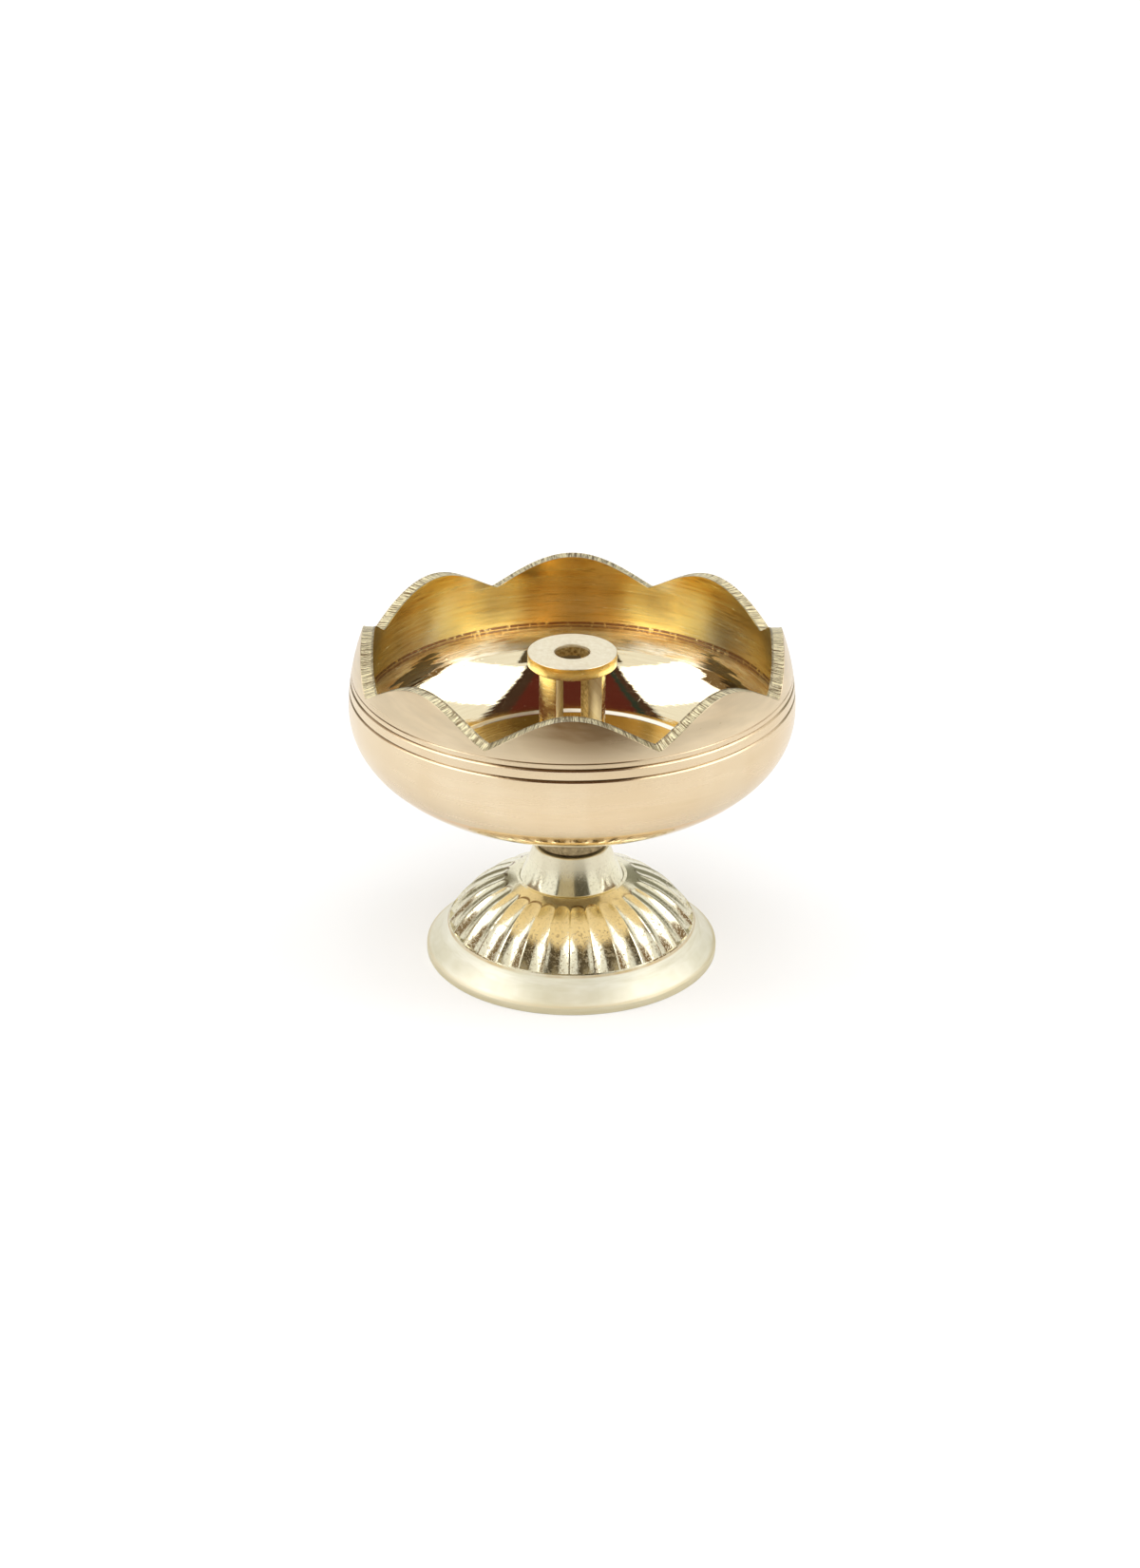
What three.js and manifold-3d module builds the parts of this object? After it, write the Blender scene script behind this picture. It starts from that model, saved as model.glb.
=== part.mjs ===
// Brass diya: a small oil lamp in three turned and cast brass pieces.
// A hollow fluted pedestal carries a round bowl whose rim is filed into eight petals.
// A wick holder with two tall windows is screwed into the floor of the bowl.
// Millimetres, +Z up. The origin is the centre of the foot, on the surface it stands on.
// Angles are measured about Z from the front, which is -Y, towards +X.

import * as THREE from 'three';
import * as BufferGeometryUtils from 'three/addons/utils/BufferGeometryUtils.js';
import Module from 'manifold-3d';

// Fits between the pieces
const SEAT_GAP = 0.3;
const THREAD_CLEARANCE = 0.3;

// Pedestal: foot
const FOOT_RADIUS = 24.9;
const FOOT_EDGE_HEIGHT = 1.3;
const FOOT_EDGE_BREAK = 0.3;
const FOOT_RING_WIDTH = 2.4;
const FLARE_HEIGHT = 4.2;
const FLARE_SAG = 0.35;

// Pedestal: fluted dome
const CREASE_RADIUS = 21.1;
const DOME_HEIGHT = 8.4;
const DOME_TOP_RADIUS = 9.5;
const DOME_BULGE = 1.35;
const DOME_WALL = 2.3;
const FLUTE_COUNT = 30;
const FLUTE_DEPTH = 0.5;
const FLUTE_LAND = 0.25;
const FLUTE_TOP_MARGIN = 1.6;
const FLUTE_FOOT_MARGIN = 0.25;
const FLUTE_TURN = 5;

// Pedestal: neck
const NECK_BASE_RADIUS = 8.9;
const NECK_TOP_RADIUS = 6.4;
const NECK_HEIGHT = 6.0;
const NECK_SAG = 0.16;
const NECK_FLOOR_WALL = 2.9;
const NECK_EDGE_BREAK = 0.25;

// Bowl: rough stub and screw under it
const BOSS_RADIUS = 6.0;
const BOSS_LENGTH = 7.1;
const BOSS_FILLET = 2.2;
const STUD_RADIUS = 3.8;
const STUD_LENGTH = 8.3;
const STUD_POINT = 0.7;

// Bowl: body
const BOWL_RADIUS = 37.4;
const BELLY_DEPTH = 18.9;
const BELLY_POWER = 2.13;
const RIM_RADIUS = 35.0;
const RIM_RISE = 12.6;
const RIM_POWER = 1.9;
const BOWL_WALL = 2.1;
const FLOOR_THICKNESS = 2.4;
const SPOT_FACE_MARGIN = 0.9;

// Bowl: petals filed into the rim, and two turned grooves round the outside
const PETAL_COUNT = 8;
const PETAL_DEPTH = 5.2;
const PETAL_BEVEL = 0.7;
const PETAL_POWER = 1.1;
const GROOVE_HEIGHTS = [3.05, 4.9];
const GROOVE_WIDTH = 0.55;
const GROOVE_DEPTH = 0.3;

// Wick holder
const HOLDER_HEIGHT = 25.4;
const HOLDER_TURN = 17.5;
const FLANGE_RADIUS = 7.5;
const FLANGE_THICKNESS = 2.1;
const FLANGE_EDGE_BREAK = 0.25;
const STEM_RADIUS = 5.55;
const WICK_BORE_RADIUS = 3.0;
const WINDOW_ANGLE = 92;
const COLLAR_HEIGHT = 3.0;
const SPIGOT_RADIUS = 2.7;
const SPIGOT_LENGTH = 6.0;
const SPIGOT_POINT = 0.5;

// Fineness of the facets
const STEPS_PER_PETAL = 10;
const STEPS_PER_FLUTE = 2;
const HOLDER_STEPS = 48;
const BELLY_STEPS = 6;
const RIM_STEPS = 4;
const ARC_STEPS = 3;
const FLUTE_STEPS = 4;
const FLUTE_END_STEPS = 2;
const FLUTE_SECTION_STEPS = 4;
const WINDOW_STEPS = 12;

// How far a cutter reaches past the metal, and how near two points must be to count as one
const AIR = 1.0;
const SAME_POINT = 1e-5;

// Heights that follow from the sizes above
const CREASE_HEIGHT = FOOT_EDGE_HEIGHT + FLARE_HEIGHT;
const DOME_TOP_HEIGHT = CREASE_HEIGHT + DOME_HEIGHT;
const PEDESTAL_HEIGHT = DOME_TOP_HEIGHT + NECK_HEIGHT;
const EQUATOR_HEIGHT = BOSS_LENGTH + BELLY_DEPTH;
const FLOOR_HEIGHT = BOSS_LENGTH + FLOOR_THICKNESS;
const RIM_HEIGHT = EQUATOR_HEIGHT + RIM_RISE;

const wasm = await Module();
wasm.setup();

// Points on a shallow arc from a to b that bulges by sag to the left of the way it runs.
function arcPoints(a, b, sag, steps) {
  const along = b.clone().sub(a);
  const side = new THREE.Vector2(-along.y, along.x).normalize();
  const points = [];
  for (let i = 0; i <= steps; i += 1) {
    const t = i / steps;
    const lift = 4 * sag * t * (1 - t);
    points.push(a.clone().addScaledVector(along, t).addScaledVector(side, lift));
  }
  return points;
}

// A profile of radius and height, turned about Z with its first step at the front.
function turned(profile, steps) {
  const geometry = new THREE.LatheGeometry(profile, steps);
  geometry.rotateX(Math.PI / 2);
  return geometry;
}

// A closed mesh made into a solid that can be joined and cut.
function solidOf(geometry) {
  const bare = geometry.clone();
  bare.deleteAttribute('normal');
  bare.deleteAttribute('uv');
  const merged = BufferGeometryUtils.mergeVertices(bare, SAME_POINT);
  const index = merged.index.array;
  const kept = [];
  for (let i = 0; i < index.length; i += 3) {
    const [a, b, c] = [index[i], index[i + 1], index[i + 2]];
    if (a !== b && b !== c && c !== a) kept.push(a, b, c);
  }
  return new wasm.Manifold(new wasm.Mesh({
    numProp: 3,
    vertProperties: new Float32Array(merged.attributes.position.array),
    triVerts: new Uint32Array(kept),
  }));
}

// A solid made back into a mesh.
function geometryOf(solid) {
  const mesh = solid.getMesh();
  const geometry = new THREE.BufferGeometry();
  geometry.setAttribute('position', new THREE.BufferAttribute(new Float32Array(mesh.vertProperties), 3));
  geometry.setIndex(new THREE.BufferAttribute(new Uint32Array(mesh.triVerts), 1));
  geometry.computeVertexNormals();
  return geometry;
}

// A closed skin over a row of sections, each an equal number of points in order.
// A closed row joins its last section to its first, and an open row is capped.
function lofted(sections, closed) {
  const count = sections[0].length;
  const positions = sections.flat().flatMap((p) => [p.x, p.y, p.z]);
  const index = [];
  const rows = closed ? sections.length : sections.length - 1;
  for (let row = 0; row < rows; row += 1) {
    const here = row * count;
    const next = ((row + 1) % sections.length) * count;
    for (let i = 0; i < count; i += 1) {
      const j = (i + 1) % count;
      index.push(here + i, here + j, next + j, here + i, next + j, next + i);
    }
  }
  if (!closed) {
    const last = (sections.length - 1) * count;
    for (let i = 1; i < count - 1; i += 1) {
      index.push(0, i + 1, i, last, last + i, last + i + 1);
    }
  }
  const geometry = new THREE.BufferGeometry();
  geometry.setAttribute('position', new THREE.Float32BufferAttribute(positions, 3));
  geometry.setIndex(index);
  return geometry;
}

// The dome's outline from its top edge down to the crease.
const domeTop = new THREE.Vector2(DOME_TOP_RADIUS, DOME_TOP_HEIGHT);
const domeFoot = new THREE.Vector2(CREASE_RADIUS, CREASE_HEIGHT);

// A point on the dome's outline, the way down it and the way out of it, at a share of its run.
function domeFrame(share) {
  const along = domeFoot.clone().sub(domeTop);
  const side = new THREE.Vector2(-along.y, along.x).normalize();
  const lift = 4 * DOME_BULGE * share * (1 - share);
  const point = domeTop.clone().addScaledVector(along, share).addScaledVector(side, lift);
  const down = along.clone().addScaledVector(side, 4 * DOME_BULGE * (1 - 2 * share)).normalize();
  return { point, down, out: new THREE.Vector2(-down.y, down.x) };
}

// One section of the round-nosed cutter that makes a flute: an arc in the metal, closed in the air.
function fluteSection(frame, halfWidth, depth, endHeight) {
  const radius = (halfWidth * halfWidth + depth * depth) / (2 * depth);
  const reach = Math.asin(Math.min(1, halfWidth / radius));
  const points = [];
  const place = (across, up) => {
    const spot = frame.point.clone().addScaledVector(frame.out, up);
    if (endHeight !== null) spot.addScaledVector(frame.down, (endHeight - spot.y) / frame.down.y);
    points.push(new THREE.Vector3(across, -spot.x, spot.y));
  };
  for (let i = 0; i <= FLUTE_SECTION_STEPS; i += 1) {
    const angle = reach * (2 * i / FLUTE_SECTION_STEPS - 1);
    place(radius * Math.sin(angle), radius - depth - radius * Math.cos(angle));
  }
  const flank = Math.tan(reach) * AIR;
  place(halfWidth + flank, AIR);
  place(-halfWidth - flank, AIR);
  return points;
}

// The cutter for one flute at the front: a ball end near the neck, widening down to the crease.
function fluteCutter() {
  const run = domeTop.distanceTo(domeFoot);
  const topShare = FLUTE_TOP_MARGIN / run;
  const footShare = 1 - FLUTE_FOOT_MARGIN / run;
  const halfPitch = Math.tan(Math.PI / FLUTE_COUNT);
  const halfWidthAt = (share) => domeFrame(share).point.x * halfPitch - FLUTE_LAND / 2;
  const widest = halfWidthAt(footShare);
  const endRadius = halfWidthAt(topShare + halfWidthAt(topShare) / run);
  const sections = [];
  for (let i = 0; i < FLUTE_END_STEPS; i += 1) {
    const turn = (Math.PI / 2) * ((i + 0.5) / FLUTE_END_STEPS);
    const share = topShare + endRadius * (1 - Math.cos(turn)) / run;
    const half = endRadius * Math.sin(turn);
    sections.push(fluteSection(domeFrame(share), half, FLUTE_DEPTH * half / widest, null));
  }
  const startShare = topShare + endRadius / run;
  for (let i = 0; i <= FLUTE_STEPS; i += 1) {
    const share = startShare + (footShare - startShare) * i / FLUTE_STEPS;
    const half = halfWidthAt(share);
    const endHeight = i === FLUTE_STEPS ? domeFrame(footShare).point.y : null;
    sections.push(fluteSection(domeFrame(share), half, FLUTE_DEPTH * half / widest, endHeight));
  }
  return lofted(sections, false);
}

// Pedestal: one casting, turned outside, hollow below, with a tapped hole up through its neck.
function pedestalGeometry() {
  const tap = STUD_RADIUS + THREAD_CLEARANCE;
  const neckFloor = DOME_TOP_HEIGHT - NECK_FLOOR_WALL;
  const at = (radius, height) => new THREE.Vector2(radius, height);
  const hollowCrease = domeFrame(1).point.clone().addScaledVector(domeFrame(1).out, -DOME_WALL);
  const hollowTop = at(NECK_BASE_RADIUS, neckFloor);
  const flareTop = at(CREASE_RADIUS, CREASE_HEIGHT);
  const flareFoot = at(FOOT_RADIUS - FOOT_EDGE_BREAK, FOOT_EDGE_HEIGHT);
  const neckFoot = at(NECK_BASE_RADIUS, DOME_TOP_HEIGHT);
  const neckTop = at(NECK_TOP_RADIUS, PEDESTAL_HEIGHT - NECK_EDGE_BREAK);
  const profile = [
    at(tap, neckFloor),
    ...arcPoints(hollowTop, hollowCrease, DOME_BULGE, ARC_STEPS),
    at(FOOT_RADIUS - FOOT_RING_WIDTH, 0),
    at(FOOT_RADIUS - FOOT_EDGE_BREAK, 0),
    at(FOOT_RADIUS, FOOT_EDGE_BREAK),
    at(FOOT_RADIUS, FOOT_EDGE_HEIGHT - FOOT_EDGE_BREAK),
    ...arcPoints(flareFoot, flareTop, FLARE_SAG, ARC_STEPS),
    ...arcPoints(domeFoot, domeTop, -DOME_BULGE, ARC_STEPS + FLUTE_END_STEPS).slice(1),
    ...arcPoints(neckFoot, neckTop, NECK_SAG, ARC_STEPS),
    at(NECK_TOP_RADIUS - NECK_EDGE_BREAK, PEDESTAL_HEIGHT),
    at(tap, PEDESTAL_HEIGHT),
    at(tap, neckFloor),
  ];
  let body = solidOf(turned(profile, FLUTE_COUNT * STEPS_PER_FLUTE));
  for (let i = 0; i < FLUTE_COUNT; i += 1) {
    const cutter = fluteCutter();
    cutter.rotateZ(2 * Math.PI * i / FLUTE_COUNT);
    body = body.subtract(solidOf(cutter));
  }
  return geometryOf(body);
}

// The bowl's radius at a height above the equator, for its outside or, less a wall, its inside.
function upperRadius(height, wall) {
  const rise = (height - EQUATOR_HEIGHT) / RIM_RISE;
  return BOWL_RADIUS - wall - (BOWL_RADIUS - RIM_RADIUS) * rise ** RIM_POWER;
}

// The belly's curve from a start radius near its bottom up to the equator.
function bellyPoints(startRadius, wall, bottom) {
  const reach = BOWL_RADIUS - wall;
  const start = Math.acos((startRadius / reach) ** (BELLY_POWER / 2));
  const points = [];
  for (let i = 0; i <= BELLY_STEPS; i += 1) {
    const turn = start * (1 - i / BELLY_STEPS);
    const radius = reach * Math.cos(turn) ** (2 / BELLY_POWER);
    const drop = Math.sin(turn) ** (2 / BELLY_POWER);
    points.push(new THREE.Vector2(radius, EQUATOR_HEIGHT - (EQUATOR_HEIGHT - bottom) * drop));
  }
  return points;
}

// The wall above the equator, up past the petals, which are cut out of it afterwards.
function rimPoints(wall) {
  const points = [];
  for (let i = 1; i <= RIM_STEPS; i += 1) {
    const height = EQUATOR_HEIGHT + (RIM_RISE + AIR) * i / RIM_STEPS;
    points.push(new THREE.Vector2(upperRadius(height, wall), height));
  }
  return points;
}

// The outside curve above the equator, broken by a V groove at each groove height.
function groovedRimPoints() {
  const points = rimPoints(0);
  for (const groove of GROOVE_HEIGHTS) {
    const height = EQUATOR_HEIGHT + groove;
    const [low, high] = [height - GROOVE_WIDTH / 2, height + GROOVE_WIDTH / 2];
    const clear = points.filter((p) => p.y < low - GROOVE_WIDTH || p.y > high + GROOVE_WIDTH);
    points.length = 0;
    points.push(...clear);
    points.push(new THREE.Vector2(upperRadius(low, 0), low));
    points.push(new THREE.Vector2(upperRadius(height, GROOVE_DEPTH), height));
    points.push(new THREE.Vector2(upperRadius(high, 0), high));
  }
  return points.sort((a, b) => a.y - b.y);
}

// How far up its own height the petal line stands at an angle: 1 on a petal's peak, 0 in a notch.
function petalShare(angle) {
  const pitch = 2 * Math.PI / PETAL_COUNT;
  const offset = Math.abs(angle - pitch * Math.round(angle / pitch)) / (pitch / 2);
  return Math.max(0, Math.cos(offset * Math.PI / 2)) ** PETAL_POWER;
}

// All that is filed away above the petals: a ring whose underside is the petal line.
// Between petals the underside slopes down outwards by the bevel.
function petalCutter() {
  const inner = RIM_RADIUS - BOWL_WALL;
  const outer = BOWL_RADIUS;
  const steps = PETAL_COUNT * STEPS_PER_PETAL;
  const sections = [];
  for (let i = 0; i < steps; i += 1) {
    const angle = 2 * Math.PI * i / steps;
    const [across, back] = [Math.sin(angle), -Math.cos(angle)];
    const below = 1 - petalShare(angle);
    const slope = PETAL_BEVEL * below / (outer - inner);
    const innerHeight = RIM_HEIGHT - PETAL_DEPTH * below;
    const heightAt = (radius) => innerHeight - slope * (radius - inner);
    const place = (radius, height) => new THREE.Vector3(radius * across, radius * back, height);
    const near = inner - 2 * BOWL_WALL;
    const far = outer + 2 * BOWL_WALL;
    const top = RIM_HEIGHT + 2 * AIR + PETAL_BEVEL;
    sections.push([
      place(near, heightAt(near)),
      place(near, top),
      place(far, top),
      place(far, heightAt(far)),
    ]);
  }
  return lofted(sections, true);
}

// Bowl: a casting turned inside and out, held in the chuck by the stub that is left under it.
// The stub ends in a screw for the neck, and a blind tapped hole in the floor takes the holder.
function bowlGeometry() {
  const at = (radius, height) => new THREE.Vector2(radius, height);
  const socket = SPIGOT_RADIUS + THREAD_CLEARANCE;
  const socketFloor = FLOOR_HEIGHT - SPIGOT_LENGTH - 2 * THREAD_CLEARANCE;
  const spotFace = STEM_RADIUS + SPOT_FACE_MARGIN;
  const belly = bellyPoints(BOSS_RADIUS + BOSS_FILLET, 0, BOSS_LENGTH);
  const filletFoot = at(BOSS_RADIUS, BOSS_LENGTH - BOSS_FILLET);
  const filletSag = BOSS_FILLET * (1 - Math.SQRT1_2) / 2;
  const profile = [
    at(0, -STUD_LENGTH),
    at(STUD_RADIUS - STUD_POINT, -STUD_LENGTH),
    at(STUD_RADIUS, STUD_POINT - STUD_LENGTH),
    at(STUD_RADIUS, 0),
    at(BOSS_RADIUS, 0),
    ...arcPoints(filletFoot, belly[0], -filletSag, ARC_STEPS).slice(0, -1),
    ...belly,
    ...groovedRimPoints(),
    ...rimPoints(BOWL_WALL).reverse(),
    ...bellyPoints(spotFace, BOWL_WALL, FLOOR_HEIGHT).reverse(),
    at(spotFace, FLOOR_HEIGHT),
    at(socket, FLOOR_HEIGHT),
    at(socket, socketFloor),
    at(0, socketFloor),
  ];
  const blank = solidOf(turned(profile, PETAL_COUNT * STEPS_PER_PETAL));
  return geometryOf(blank.subtract(solidOf(petalCutter())));
}

// One window of the wick holder at the front: a sector of the stem's wall.
function windowCutter() {
  const half = THREE.MathUtils.degToRad(WINDOW_ANGLE / 2);
  const front = -Math.PI / 2;
  const inside = WICK_BORE_RADIUS / 2;
  const outside = (STEM_RADIUS + FLANGE_RADIUS) / 2;
  const sector = new THREE.Shape();
  sector.absarc(0, 0, outside, front - half, front + half, false);
  sector.absarc(0, 0, inside, front + half, front - half, true);
  const height = HOLDER_HEIGHT - FLANGE_THICKNESS - COLLAR_HEIGHT;
  const settings = { depth: height, bevelEnabled: false, curveSegments: WINDOW_STEPS };
  const geometry = new THREE.ExtrudeGeometry(sector, settings);
  geometry.translate(0, 0, COLLAR_HEIGHT);
  return geometry;
}

// Wick holder: a flanged tube open on two sides, so that oil reaches the wick that hangs in it.
function wickHolderGeometry() {
  const at = (radius, height) => new THREE.Vector2(radius, height);
  const flangeFoot = HOLDER_HEIGHT - FLANGE_THICKNESS;
  const profile = [
    at(0, -SPIGOT_LENGTH),
    at(SPIGOT_RADIUS - SPIGOT_POINT, -SPIGOT_LENGTH),
    at(SPIGOT_RADIUS, SPIGOT_POINT - SPIGOT_LENGTH),
    at(SPIGOT_RADIUS, 0),
    at(STEM_RADIUS, 0),
    at(STEM_RADIUS, flangeFoot),
    at(FLANGE_RADIUS - FLANGE_EDGE_BREAK, flangeFoot),
    at(FLANGE_RADIUS, flangeFoot + FLANGE_EDGE_BREAK),
    at(FLANGE_RADIUS, HOLDER_HEIGHT - FLANGE_EDGE_BREAK),
    at(FLANGE_RADIUS - FLANGE_EDGE_BREAK, HOLDER_HEIGHT),
    at(WICK_BORE_RADIUS, HOLDER_HEIGHT),
    at(WICK_BORE_RADIUS, COLLAR_HEIGHT),
    at(0, COLLAR_HEIGHT),
  ];
  let body = solidOf(turned(profile, HOLDER_STEPS));
  for (const side of [0, Math.PI]) {
    const cutter = windowCutter();
    cutter.rotateZ(side);
    body = body.subtract(solidOf(cutter));
  }
  return geometryOf(body);
}

// A named piece with its own finish.
function piece(name, geometry, color, roughness) {
  const material = new THREE.MeshStandardMaterial({ color, roughness, metalness: 1 });
  const mesh = new THREE.Mesh(geometry, material);
  mesh.name = name;
  return mesh;
}

const pedestal = piece('pedestal', pedestalGeometry(), 0xdcd6b0, 0.22);
pedestal.rotation.z = THREE.MathUtils.degToRad(FLUTE_TURN);

const bowl = piece('bowl', bowlGeometry(), 0xdcbf95, 0.3);
const bowlGroup = new THREE.Group();
bowlGroup.position.z = PEDESTAL_HEIGHT + SEAT_GAP;
bowlGroup.add(bowl);

const wickHolder = piece('wick_holder', wickHolderGeometry(), 0xd2a95c, 0.35);
wickHolder.position.z = FLOOR_HEIGHT + SEAT_GAP;
wickHolder.rotation.z = THREE.MathUtils.degToRad(HOLDER_TURN);
bowlGroup.add(wickHolder);

const diya = new THREE.Group();
diya.add(pedestal, bowlGroup);

export default diya;
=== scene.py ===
# Brass diya: a small oil lamp of three brass pieces that screw together.
# Metres, +Z up. The front is -Y, and angles run from the front towards +X.
import math

import bmesh
import bpy
from mathutils import Matrix, Vector


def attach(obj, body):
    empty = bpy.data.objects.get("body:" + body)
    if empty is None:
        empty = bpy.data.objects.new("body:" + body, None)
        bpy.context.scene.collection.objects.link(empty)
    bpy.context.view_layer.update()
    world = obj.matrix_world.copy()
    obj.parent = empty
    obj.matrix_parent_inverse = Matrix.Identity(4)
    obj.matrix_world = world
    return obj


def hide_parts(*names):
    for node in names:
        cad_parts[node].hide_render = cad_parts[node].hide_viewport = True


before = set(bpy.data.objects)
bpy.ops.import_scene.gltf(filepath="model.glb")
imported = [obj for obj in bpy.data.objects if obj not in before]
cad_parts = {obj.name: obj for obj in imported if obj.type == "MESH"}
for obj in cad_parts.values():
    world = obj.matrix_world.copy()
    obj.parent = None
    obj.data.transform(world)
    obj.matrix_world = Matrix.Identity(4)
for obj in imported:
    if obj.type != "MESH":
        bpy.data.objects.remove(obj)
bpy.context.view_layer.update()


# Pedestal
# One hollow casting in pale brass, turned on the outside: a flared foot, a dome with thirty
# flutes run into it, and a conical neck with a tapped hole for the bowl's stud.

MM = 0.001
FOOT_RADIUS = 24.9 * MM
FOOT_EDGE_HEIGHT = 1.3 * MM
FOOT_RING_WIDTH = 2.4 * MM
FOOT_SOFTNESS = 0.25 * MM
FLARE_SAG = 0.35 * MM
CREASE_RADIUS = 21.1 * MM
CREASE_HEIGHT = 5.5 * MM
DOME_TOP_RADIUS = 9.5 * MM
DOME_TOP_HEIGHT = 13.9 * MM
DOME_BULGE = 1.35 * MM
DOME_WALL = 2.3 * MM
FLUTE_COUNT = 30
FLUTE_STEPS = 12
FLUTE_ROWS = 14
FLUTE_PULLED_ROWS = 10
FLUTE_END_ROWS = 6
ROWS_ABOVE_FLUTES = 5
FLUTE_DEPTH = 0.5 * MM
FLUTE_LAND = 0.25 * MM
FLUTE_TURN = math.radians(5)
FLUTE_START = 0.112
FLUTE_END_LENGTH = 0.072
FLUTE_STOP = 0.982
FLUTE_FADE = 0.4
FLUTE_END_DEPTH = 0.3
NECK_BASE_RADIUS = 8.9 * MM
NECK_TOP_RADIUS = 6.4 * MM
NECK_HEIGHT = 6.0 * MM
NECK_FLOOR = 11.0 * MM
NECK_SOFTNESS = 0.2 * MM
NECK_SAG = 0.16 * MM
TAP_RADIUS = 4.1 * MM
TAP_THREAD_DEPTH = 0.2 * MM
TAP_LINING = 0.02 * MM
TAP_LEAD = 0.3 * MM
THREAD_PITCH = 1.25 * MM
THREAD_COLUMNS = 72
THREAD_STEEPNESS = 1.3
# Pits and painted shade come in between these heights, low on the dome.
PITTED_AND_SHADED_HEIGHTS = (11.5 * MM, 9.5 * MM)
DULL_NECK_HEIGHTS = (16.2 * MM, 18.4 * MM)
# Painted shade in the flutes' round ends lies along this radius and bow.
FLUTE_END_SHADE_RADIUS = 11.15 * MM
FLUTE_END_SHADE_BOW = 0.8 * MM
OFF_AXIS = 0.1 * MM


class Field:
    """A number that varies over a mesh or a surface. Arithmetic with it is built as Math nodes."""

    def __init__(self, tree, socket):
        self.tree = tree
        self.socket = socket

    def math(self, operation, *operands):
        return calculate(self.tree, operation, self, *operands)

    def __add__(self, other):
        return self.math("ADD", other)

    def __sub__(self, other):
        return self.math("SUBTRACT", other)

    def __mul__(self, other):
        return self.math("MULTIPLY", other)

    def __truediv__(self, other):
        return self.math("DIVIDE", other)

    def __pow__(self, other):
        return self.math("POWER", other)

    def __radd__(self, other):
        return self.math("ADD", other)

    def __rmul__(self, other):
        return self.math("MULTIPLY", other)

    def __rsub__(self, other):
        return calculate(self.tree, "SUBTRACT", other, self)

    def __rtruediv__(self, other):
        return calculate(self.tree, "DIVIDE", other, self)

    def ramp(self, low, high):
        """0 at low and below, 1 at high and above, and straight between."""
        share = (self - low) / (high - low)
        return share.math("MAXIMUM", 0.0).math("MINIMUM", 1.0)

    def near(self, middle, reach, core):
        """1 within core of the middle, 0 from reach outwards, and straight between."""
        return (self - middle).math("ABSOLUTE").ramp(reach, core)

    def blend(self, when_zero, when_one):
        """when_zero where this is 0, and when_one where it is 1."""
        return when_zero * (1.0 - self) + when_one * self


def plug(tree, value, socket):
    """Gives a socket its value: a field, another socket, or a constant."""
    if isinstance(value, Field):
        tree.links.new(value.socket, socket)
    elif isinstance(value, bpy.types.NodeSocket):
        tree.links.new(value, socket)
    else:
        socket.default_value = value


def calculate(tree, operation, *operands):
    """One Math node on numbers and fields."""
    node = tree.nodes.new("ShaderNodeMath")
    node.operation = operation
    for operand, socket in zip(operands, node.inputs):
        plug(tree, operand, socket)
    return Field(tree, node.outputs[0])


def hypotenuse(one, other):
    """The long side over two short sides at a right angle."""
    return (one * one + other * other).math("SQRT")


def fit(tree, node, **values):
    """Sets a node's named sockets, and gives the node. An underscore in a name is a space."""
    for key, value in values.items():
        plug(tree, value, node.inputs[key.replace("_", " ")])
    return node


def place(tree, kind, settings=None, **values):
    """A new node with its settings, and its named sockets set."""
    node = tree.nodes.new(kind)
    for key, value in (settings or {}).items():
        setattr(node, key, value)
    return fit(tree, node, **values)


def stretch(start, end, steps, sag=0.0):
    """Outline points from start to end, both included, bowed to the left of the way they run."""
    (r0, z0), (r1, z1) = start, end
    length = math.hypot(r1 - r0, z1 - z0)
    side_r, side_z = -(z1 - z0) / length, (r1 - r0) / length
    points = []
    for i in range(steps + 1):
        t = i / steps
        lift = 4 * sag * t * (1 - t)
        points.append((r0 + (r1 - r0) * t + side_r * lift, z0 + (z1 - z0) * t + side_z * lift))
    return points


def softened(corners, softness, steps=3):
    """The corners of an outline as points, with every corner between the ends rounded over."""
    points = [corners[0]]
    for before, corner, after in zip(corners, corners[1:], corners[2:]):
        ends = []
        for other in (before, after):
            length = math.dist(corner, other)
            reach = min(softness, length / 2) / length
            ends.append(tuple(c + (o - c) * reach for c, o in zip(corner, other)))
        for i in range(steps + 1):
            t = i / steps
            points.append(tuple(
                a * (1 - t) ** 2 + 2 * c * t * (1 - t) + b * t ** 2
                for a, c, b in zip(ends[0], corner, ends[1])
            ))
    points.append(corners[-1])
    return points


class Outline:
    """The rows of a turned piece in order, each with its finish and the marks that a rule reads."""

    def __init__(self):
        self.points = []
        self.marks = {"finish": []}

    def add(self, points, finish, **marks):
        """Points with one finish. A mark is one number for all of them, or a list of numbers."""
        count = len(self.points)
        self.points += points
        self.marks["finish"] += [finish] * len(points)
        for name, value in marks.items():
            row = self.marks.setdefault(name, [0.0] * count)
            row += [0.0] * (count - len(row))
            row += value if isinstance(value, list) else [value] * len(points)

    def mesh(self, name):
        mesh = bpy.data.meshes.new(name)
        mesh.from_pydata([(r, 0.0, z) for r, z in self.points], [], [])
        for mark, values in self.marks.items():
            values = values + [0.0] * (len(self.points) - len(values))
            attribute = mesh.attributes.new(mark, "FLOAT", "POINT")
            attribute.data.foreach_set("value", values)
        return mesh


def stand(name, data):
    """An object of its data, put in the scene."""
    thing = bpy.data.objects.new(name, data)
    bpy.context.collection.objects.link(thing)
    return thing


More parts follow.
